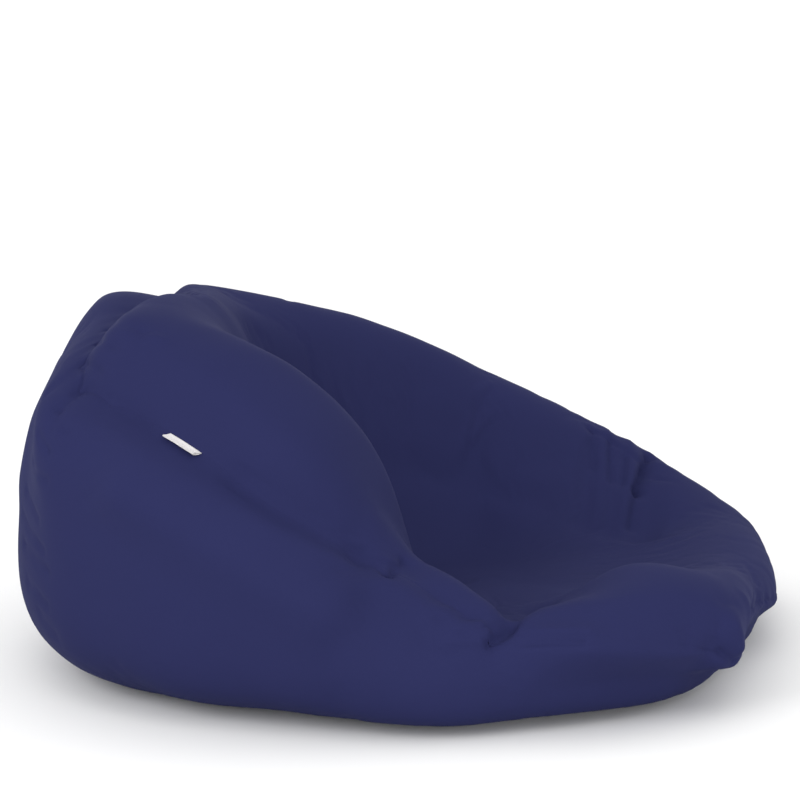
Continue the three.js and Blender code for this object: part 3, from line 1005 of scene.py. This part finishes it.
def fine_ring(panel, step, every):
    """One ring of the finished cover, and its distance from the seam."""
    share = step / (OUTER_RINGS if panel == "outer" else SEAT_RINGS)
    side = 1 if panel == "outer" else -1
    length = RUNS[panel][-1, ::every]
    distance = ring_distance(share, length, FIRST)
    wander = seam_wander(every) * np.exp(-((distance / SCALLOP_REACH) ** 2))
    strayed = distance + side * wander
    points = across_seam(PANELS, panel, strayed, every)
    normal = across_seam(NORMALS_OF, panel, strayed, every)
    place = points + settled_at(panel, ring_share(distance, length, SIM_FIRST), every)
    pull = pucker_depth(panel, distance, every) + draw_in(distance, every)
    pull += fold_depth(points, SMALL_FOLDS, SMALL_CRISP)
    lift = lumps(points) + stitch_ripple(distance, every) * side
    rises = np.clip(points[:, 2] / RISE_FREE, 0, 1)
    place += normal * ((lift - pull) * rises)[:, None]
    place[:, 2] = np.maximum(place[:, 2], 0)
    return place, distance


def fine_rings():
    """The rings from under the bag to the seat, each with its distances from its panel's middle."""
    made = underside(WIDEST)
    for step in range(OUTER_RINGS, -1, -1):
        every = every_at(step)
        points, distance = fine_ring("outer", step, every)
        whole = np.linalg.norm(OUTER[-1, ::every] - MIDDLE, axis=-1) + RUNS["outer"][-1, ::every]
        made.append((points, whole - distance))
    seam = len(made) - 1
    for step in range(1, SEAT_RINGS):
        every = every_at(step)
        points, distance = fine_ring("seat", step, every)
        skip = skip_at(COLUMNS // WIDEST, step / SEAT_RINGS, "seat") if every == WIDEST else 1
        made.append((points[::skip], (RUNS["seat"][-1, ::every] - distance)[::skip]))
    made.append((made[-1][0].mean(axis=0)[None, :], np.zeros(1)))
    return made, seam


fine, seam_ring = fine_rings()
cover, face_rings = mesh_from_rings("bean_bag_cover", [points for points, _ in fine])
print("cover:", len(cover.data.vertices), "points,", len(cover.data.polygons), "faces")

# %% [markdown]
# ## Cloth coordinates
# A weave follows the cloth and not the room, so the cover needs a UV map in which one unit is one metre
# of cloth. Each panel is opened out flat from its middle: the distance along the cloth gives how far
# out, and the column gives the direction. The two panels lie side by side in the map and meet at the
# seam only in the mesh.

# %% Grain map
PANEL_APART = 4.0


def corner_vertices(mesh):
    """The vertex at each corner of each face."""
    corners = np.zeros(len(mesh.loops), int)
    mesh.loops.foreach_get("vertex_index", corners)
    return corners


def add_chart(mesh, chart):
    """The UV map of a piece of cloth, from the place of each corner of each face."""
    layer = mesh.uv_layers.new(name="grain")
    layer.data.foreach_set("uv", chart.astype(np.float32).ravel())


def add_grain_map(mesh):
    """A UV map in metres along the cloth, one chart for each panel."""
    flat = {"outer": [], "seat": []}
    for i, (points, out) in enumerate(fine):
        count = len(points)
        angle = np.radians(DIRECTIONS[:: COLUMNS // count]) if count > 1 else np.zeros(1)
        spoke = np.stack([np.cos(angle), np.sin(angle)], axis=-1)
        seat_out = RUNS["seat"][-1] if i == seam_ring else out
        flat["outer"].append(out[:, None] * spoke)
        flat["seat"].append(seat_out[:, None] * spoke + (PANEL_APART, 0))
    outer, seat = [np.concatenate(rows) for rows in flat.values()]
    corners = corner_vertices(mesh)
    sizes = np.zeros(len(mesh.polygons), int)
    mesh.polygons.foreach_get("loop_total", sizes)
    on_seat = np.repeat(face_rings >= seam_ring, sizes)[:, None]
    add_chart(mesh, np.where(on_seat, seat[corners], outer[corners]))


add_grain_map(cover.data)
cover.data.shade_smooth()
print("grain map:", cover.data.uv_layers[0].name)

# %% [markdown]
# ## The folded tape
# A woven tape 38 mm wide and 59 mm long is folded along its middle and both its edges are caught in the
# seam. The folded edge stands 7 mm off the cloth and leans towards the back, and the right end opens a
# little. A strip could be laid flat and folded by a simulation, but so short and stiff a tape is more
# exact when its section, a thin U, is drawn once and swept along the seam.

# %% The cloth under the tape
TAPE_FROM, TAPE_TO = 220.2, 224.4  # the frame's directions for the two ends
TAPE_SHOWS = 19 * MM
TAPE_THICK = 0.35 * MM
TAPE_CLEAR = 0.45 * MM
TAPE_STAND, TAPE_LEAN = 7 * MM, 5 * MM
TAPE_REACH = math.sqrt(TAPE_SHOWS**2 - TAPE_STAND**2 - TAPE_LEAN**2)
CAST_FROM = 40 * MM
GRID_BEYOND, GRID_PAST = 10 * MM, 2 * MM
GRID_ALONG, GRID_OUT = 84, 17

seam_run = np.append(0, np.cumsum(np.linalg.norm(np.diff(OUTER[0], axis=0), axis=-1)))
tape_start, tape_end = np.interp((TAPE_FROM, TAPE_TO), DIRECTIONS, seam_run)
TAPE_LENGTH = float(tape_end - tape_start)
ALONG_GRID = np.linspace(-GRID_BEYOND, TAPE_LENGTH + GRID_BEYOND, GRID_ALONG)
OUT_GRID = np.linspace(0, TAPE_SHOWS + GRID_PAST, GRID_OUT)


def between_columns(ring, columns):
    """A ring's values at fractional columns."""
    low = np.floor(columns).astype(int)
    share = (columns - low)[:, None]
    return ring[low] * (1 - share) + ring[low + 1] * share


def cloth_grid():
    """The form's points and normals by distance from the seam and along the tape, and the cloth's heights."""
    mesh = cover.data
    tree = BVHTree.FromPolygons([v.co for v in mesh.vertices], [p.vertices for p in mesh.polygons])
    columns = np.interp(ALONG_GRID + tape_start, seam_run, np.arange(COLUMNS))
    points, normals = [
        np.array([between_columns(at_distance(values, "outer", out, 1), columns) for out in OUT_GRID])
        for values in (OUTER, NORMALS_OF["outer"])
    ]
    heights = np.zeros((GRID_OUT, GRID_ALONG))
    for i, j in np.ndindex(heights.shape):
        start = Vector(points[i, j] + normals[i, j] * CAST_FROM)
        heights[i, j] = CAST_FROM - tree.ray_cast(start, Vector(-normals[i, j]))[3]
    return points, normals, heights


cloth_points, cloth_normals, cloth_heights = cloth_grid()
print("cloth under the tape from", (cloth_heights.min() / MM).round(2), "mm")

# %% [markdown]
# The section runs from the seam down the back layer, round the fold and up the front layer. At the seam
# both layers follow the cloth down into the stitched groove.

# %% Folded section
FOLD_RADIUS = 0.5 * MM
LAYER_POINTS, FOLD_POINTS = 16, 9
FRONT_BULGE = 0.5 * MM
SEAM_DIP, SEAM_DIP_REACH = 0.7 * MM, 1.6 * MM
LAYERS_PART = 1.2
FOLD_OPENS, BULGE_OPENS = 0.25, 0.4


def section_of_tape(opening):
    """Distances from the seam and heights along the middle of the tape, where its end opens by so much."""
    reach = TAPE_SHOWS - FOLD_RADIUS
    out = np.linspace(0, reach, LAYER_POINTS)
    share = out / reach
    radius = FOLD_RADIUS + FOLD_OPENS * opening
    turn = np.linspace(0, math.pi, FOLD_POINTS + 2)[1:-1]
    back = TAPE_CLEAR - SEAM_DIP * np.exp(-((out / SEAM_DIP_REACH) ** 2))
    front = back + TAPE_THICK + (2 * radius - TAPE_THICK) * share**LAYERS_PART
    front += (FRONT_BULGE + BULGE_OPENS * opening) * np.sin(math.pi * share)
    fold_out = reach + radius * np.sin(turn)
    fold_up = back[-1] + radius - radius * np.cos(turn)
    return np.concatenate([out, fold_out, out[::-1]]), np.concatenate([back, fold_up, front[::-1]])


def outline_of_tape(opening):
    """The closed outline of the section: the strip's middle line given its thickness."""
    line = np.stack(section_of_tape(opening), axis=-1)
    run = np.gradient(line, axis=0)
    side = np.stack([-run[:, 1], run[:, 0]], axis=-1)
    side *= TAPE_THICK / 2 / np.linalg.norm(side, axis=-1, keepdims=True)
    return np.concatenate([line - side, (line + side)[::-1]])


print("points of the section:", len(outline_of_tape(0)))

# %% [markdown]
# Along the seam the section rides on the cloth's height under it, which is smoothed because a stiff tape
# bridges the small ripples. Its near corners are rounded and its right end opens and curls.

# %% Points of the tape
TAPE_STATIONS = 72
CORNER_RADIUS, CORNER_MOST = 6 * MM, 0.98
END_OPENS, OPEN_FROM = 2.6 * MM, 0.75  # the right end opens over its last quarter
END_CURLS = 2.5 * MM
ROUNDS_AT, STAND_CURVE = 4, 1.3
FRONT_FROM = LAYER_POINTS + FOLD_POINTS
OFF_GROOVE = 3.5 * MM
BRIDGES = 6  # steps of the grid on each side
GRID_EDGE = 1.001  # keeps a place within the last step of the grid


def under_tape():
    """The cloth's height that a stiff tape rests on, by place along it, without groove and ripples."""
    off_seam = cloth_heights[OUT_GRID > OFF_GROOVE]
    wide = np.pad(off_seam.mean(axis=0), BRIDGES, mode="edge")
    window = 2 * BRIDGES + 1
    bridged = np.convolve(wide, np.ones(window) / window, mode="valid")
    return np.maximum(bridged, off_seam.max(axis=0) - TAPE_CLEAR / 2)


def grid_values(grid, out, along):
    """Values of the cloth grid at distances out from the seam and along it."""
    place = np.clip(out / OUT_GRID[1], 0, GRID_OUT - GRID_EDGE)
    column = np.clip((along - ALONG_GRID[0]) / (ALONG_GRID[1] - ALONG_GRID[0]), 0, GRID_ALONG - GRID_EDGE)
    i, j = place.astype(int), column.astype(int)
    u, v = (place - i)[:, None], (column - j)[:, None]
    lower = grid[i, j] * (1 - v) + grid[i, j + 1] * v
    upper = grid[i + 1, j] * (1 - v) + grid[i + 1, j + 1] * v
    return lower * (1 - u) + upper * u


def tape_vertices():
    """Points of the tape, by station along it and by place on its outline."""
    under = under_tape()
    layer = np.arange(2 * LAYER_POINTS + FOLD_POINTS) >= FRONT_FROM
    front = np.concatenate([layer, layer[::-1]])
    rows = []
    for station in np.linspace(0, 1, TAPE_STATIONS):
        open_share = max(0, (station - OPEN_FROM) / (1 - OPEN_FROM)) ** 2
        out, up = outline_of_tape(END_OPENS * open_share).T
        share = np.clip(out / TAPE_SHOWS, 0, 1)
        corner = np.clip(out - TAPE_SHOWS + CORNER_RADIUS, 0, CORNER_MOST * CORNER_RADIUS)
        rounding = CORNER_RADIUS - np.sqrt(CORNER_RADIUS**2 - corner**2)
        along = station * TAPE_LENGTH - TAPE_LEAN * share + rounding * (1 - station) ** ROUNDS_AT
        along -= END_CURLS * open_share * np.sin(math.pi * share) * front
        height = up + TAPE_STAND * share**STAND_CURVE + np.interp(along, ALONG_GRID, under)
        ground = grid_values(cloth_points, share * TAPE_REACH, along)
        rows.append(ground + grid_values(cloth_normals, share * TAPE_REACH, along) * height[:, None])
    return np.array(rows)


tape_rows = tape_vertices()
print("stations along the tape and points round it:", tape_rows.shape[:2])

# %% [markdown]
# The outlines are joined by quads, and each end is closed by a row of them across the tape's thickness.
# The UV map gives metres along the tape and across it. A volume above zero shows that the faces of a
# piece point outwards.

# %% Mesh of the tape
def make_tape(rows):
    """The folded tape as one closed mesh, with its UV map in metres along the tape."""
    stations, around = rows.shape[:2]
    half = around // 2
    last = (stations - 1) * around
    faces = []
    for low in range(0, last, around):
        for i in range(around):
            k = (i + 1) % around
            faces.append((low + i, low + around + i, low + around + k, low + k))
    for i in range(half - 1):
        far = around - 1 - i
        faces.append((i, i + 1, far - 1, far))
        faces.append((last + far, last + far - 1, last + i + 1, last + i))
    piece = new_piece("label_tape", rows.reshape(-1, 3), faces)
    length = np.linspace(0, TAPE_LENGTH, stations)
    width = np.append(0, np.cumsum(np.linalg.norm(np.diff(rows[0, :half], axis=0), axis=-1)))
    width = np.concatenate([width, width[::-1]])
    corners = corner_vertices(piece.data)
    add_chart(piece.data, np.stack([length[corners // around], width[corners % around]], axis=-1))
    return piece


def outward_volume(piece):
    """The volume inside a closed piece, above zero where its faces point outwards."""
    shape = bmesh.new()
    shape.from_mesh(piece.data)
    volume = shape.calc_volume(signed=True)
    shape.free()
    return volume


label = make_tape(tape_rows)
label.data.shade_smooth()
print("tape:", round(TAPE_LENGTH / MM, 1), "mm long,", len(label.data.polygons), "faces")
print("volumes:", round(outward_volume(cover), 4), "m3 and", round(outward_volume(label) * 1e9), "mm3")

# %% [markdown]
# ## Shared effects
# The cover and the tape are both woven, and both show a soft uneven tone from handling. Each effect is
# a shader node group with named inputs, built once and placed in both materials with its own values. The
# helpers below make a node in one line: its inputs are given as numbers, or as another node's output.

# %% Node group helpers
def add_node(tree, kind, label, inputs=None, **settings):
    """A shader node of a kind, with its properties set and its inputs given their values."""
    made = tree.nodes.new("ShaderNode" + kind)
    made.label = label
    for name, value in settings.items():
        setattr(made, name, value)
    set_inputs(made, inputs or {})
    return made


def new_group(name, inputs, outputs):
    """An empty node group with its input and output nodes. An input with no value is a vector."""
    group = bpy.data.node_groups.new(name, "ShaderNodeTree")
    for socket, value in inputs.items():
        kind = "NodeSocketVector" if value is None else "NodeSocketFloat"
        made = group.interface.new_socket(name=socket, in_out="INPUT", socket_type=kind)
        if value is not None:
            made.default_value = value
    for socket in outputs:
        group.interface.new_socket(name=socket, in_out="OUTPUT", socket_type="NodeSocketFloat")
    return group, group.nodes.new("NodeGroupInput"), group.nodes.new("NodeGroupOutput")


print("node groups before:", len(bpy.data.node_groups))

# %% [markdown]
# In a plain weave each thread runs over one thread and under the next. A sine wave in each direction
# gives the crowns of the threads, and their product is high where one kind lies on top and low where
# the other does. A noise moves the threads a few tenths of a millimetre aside, because no thread is ruled
# straight, and another makes some threads paler.

# %% Weave group
WANDER = (0.0012, 0.0012, 0)  # the most that a thread strays, in metres


def plain_weave_group():
    """A plain weave: threads over and under each other. Puts out the threads' height from 0 to 1."""
    sockets = {"Cloth": None, "Threads": 900.0, "Slack": 0.3}
    group, start, end = new_group("plain weave", sockets, ("Height", "Thread Tone"))
    cloth = (start, "Cloth")
    drift = add_node(group, "TexNoise", "threads wander", {"Vector": cloth, "Scale": 40, "Detail": 2})
    moved = {0: (drift, "Color"), 1: WANDER, 2: cloth}
    wander = add_node(group, "VectorMath", "how far they wander", moved, operation="MULTIPLY_ADD")
    counted = {0: (wander, "Vector"), "Scale": (start, "Threads")}
    count = add_node(group, "VectorMath", "threads per metre", counted, operation="SCALE")
    split = add_node(group, "SeparateXYZ", "warp and weft", {"Vector": (count, "Vector")})
    crowns = {}
    for entry, axis in enumerate("XY"):
        half = {0: (split, axis), 1: math.pi}
        turn = add_node(group, "Math", "thread " + axis, half, operation="MULTIPLY")
        crown = add_node(group, "Math", "crown " + axis, {0: (turn, "Value")}, operation="SINE")
        crowns[entry] = (crown, "Value")
    over = add_node(group, "Math", "over and under", crowns, operation="MULTIPLY")
    height = add_node(group, "MapRange", "height", {"Value": (over, "Value"), "From Min": -1})
    slub = add_node(group, "TexNoise", "thicker threads", {"Vector": cloth, "Scale": 220, "Detail": 3})
    limits = {"Value": (slub, "Fac"), "To Max": (start, "Slack")}
    tone = add_node(group, "MapRange", "tone of a thread", limits)
    set_inputs(end, {"Height": (height, "Result"), "Thread Tone": (tone, "Result")})
    return group


WEAVE = plain_weave_group()
print("group", WEAVE.name, "with", len(WEAVE.nodes), "nodes")

# %% [markdown]
# Dye that takes unevenly, dust and use leave soft patches a few hands wide on any large cloth. A broad
# noise gives them. A finer one is the height of faint creases, which go into the bump.

# %% Handling group
def handling_group():
    """Soft uneven tone from dye, dust and handling, from 0 to 1, and a fine crease height."""
    sockets = {"Place": None, "Size": 3.0, "Crease Size": 30.0}
    group, start, end = new_group("handling", sockets, ("Tone", "Crease"))
    clouds = {"Vector": (start, "Place"), "Scale": (start, "Size"), "Detail": 3, "Roughness": 0.55}
    broad = add_node(group, "TexNoise", "broad tone", clouds)
    limits = {"Value": (broad, "Fac"), "From Min": 0.3, "From Max": 0.7}
    even = add_node(group, "MapRange", "spread the tone", limits)
    lines = {"Vector": (start, "Place"), "Scale": (start, "Crease Size"), "Detail": 4, "Distortion": 0.6}
    crease = add_node(group, "TexNoise", "fine creases", lines)
    set_inputs(end, {"Tone": (even, "Result"), "Crease": (crease, "Fac")})
    return group


HANDLING = handling_group()
print("group", HANDLING.name, "with", len(HANDLING.nodes), "nodes")

# %% [markdown]
# ## Materials
# The cover is a closely woven navy polyester with a dull satin face: a Principled shader with some
# sheen, a colour that drifts a little over the bag and from thread to thread, and the weave and the
# faint creases as bump. One function makes both cloths, so that they differ only in their values.

# %% Woven material
MIX_SHARE, MIX_FROM, MIX_TO, MIX_COLOUR = 0, 6, 7, 2  # the colour sockets of a mix node


def woven_material(name, dark, light, finish):
    """A woven cloth between two close colours. Finish gives the sizes, strengths and gloss."""
    material = bpy.data.materials.new(name)
    material.use_nodes = True
    tree = material.node_tree
    along = add_node(tree, "UVMap", "along the cloth", uv_map="grain")
    place = add_node(tree, "TexCoord", "place on the piece")
    threads = {"Cloth": (along, "UV"), **finish["weave"]}
    weave = add_node(tree, "Group", "weave", threads, node_tree=WEAVE)
    spots = {"Place": (place, "Object"), **finish["handling"]}
    handling = add_node(tree, "Group", "handling", spots, node_tree=HANDLING)
    tone = (handling, "Tone")
    shares = {0: tone, 1: finish["tone_share"], 2: (weave, "Thread Tone")}
    blend = add_node(tree, "Math", "tone and thread", shares, operation="MULTIPLY_ADD")
    ends = {MIX_SHARE: (blend, "Value"), MIX_FROM: (*dark, 1), MIX_TO: (*light, 1)}
    colour = add_node(tree, "Mix", "dark to light", ends, data_type="RGBA", clamp_factor=True)
    rough, spread = finish["roughness"]
    limits = {"Value": tone, "To Min": rough - spread, "To Max": rough + spread}
    gloss = add_node(tree, "MapRange", "roughness of the threads", limits)
    folds = {"Height": (handling, "Crease"), **finish["creases"]}
    creases = add_node(tree, "Bump", "faint creases", folds)
    ribs = {"Height": (weave, "Height"), "Normal": (creases, "Normal"), **finish["threads"]}
    raised = add_node(tree, "Bump", "threads stand up", ribs)
    looks = {
        "Base Color": (colour, MIX_COLOUR),
        "Roughness": (gloss, "Result"),
        "Normal": (raised, "Normal"),
        **finish["shader"],
    }
    set_inputs(tree.nodes["Principled BSDF"], looks)
    return material


print("each cloth uses the groups", WEAVE.name, "and", HANDLING.name)

# %% [markdown]
# The navy is a narrow range of dark blue with hardly any gloss and a blue sheen. The tape is the same
# shader in white, with finer threads that stand up more, a slight gloss and smaller patches of tone,
# because the piece itself is small.

# %% Navy cloth and white tape
NAVY_DARK, NAVY_LIGHT = (0.0141, 0.0160, 0.0580), (0.0174, 0.0196, 0.0690)
WHITE_DARK, WHITE_LIGHT = (0.56, 0.54, 0.545), (0.63, 0.615, 0.62)
COVER_FINISH = {
    "shader": {
        "Specular IOR Level": 0.05,
        "Sheen Weight": 0.02,
        "Sheen Roughness": 0.5,
        "Sheen Tint": (0.25, 0.3, 1.0, 1.0),
    },
    "weave": {"Threads": 1300.0, "Slack": 0.5},
    "handling": {"Size": 2.6, "Crease Size": 26.0},
    "tone_share": 0.55,
    "roughness": (0.8, 0.05),
    "threads": {"Distance": 0.15 * MM, "Strength": 0.35},
    "creases": {"Distance": 1.2 * MM, "Strength": 0.12},
}
TAPE_FINISH = {
    "shader": {
        "Specular IOR Level": 0.2,
        "Sheen Weight": 0.02,
        "Sheen Roughness": 0.4,
        "Sheen Tint": (1.0, 1.0, 1.0, 1.0),
    },
    "weave": {"Threads": 1500.0, "Slack": 0.6},
    "handling": {"Size": 60.0, "Crease Size": 160.0},
    "tone_share": 0.5,
    "roughness": (0.7, 0.06),
    "threads": {"Distance": 0.2 * MM, "Strength": 0.6},
    "creases": {"Distance": 0.6 * MM, "Strength": 0.2},
}
cover.data.materials.append(woven_material("navy cover cloth", NAVY_DARK, NAVY_LIGHT, COVER_FINISH))
label.data.materials.append(woven_material("white woven tape", WHITE_DARK, WHITE_LIGHT, TAPE_FINISH))
print("materials:", cover.data.materials[0].name, "and", label.data.materials[0].name)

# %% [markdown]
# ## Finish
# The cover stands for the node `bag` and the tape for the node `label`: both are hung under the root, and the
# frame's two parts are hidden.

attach(cover, "root")
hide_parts("bag")
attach(label, "root")
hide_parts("label")
bpy.data.objects.remove(sim_cover)
print("declared:", cover.name, "and", label.name)
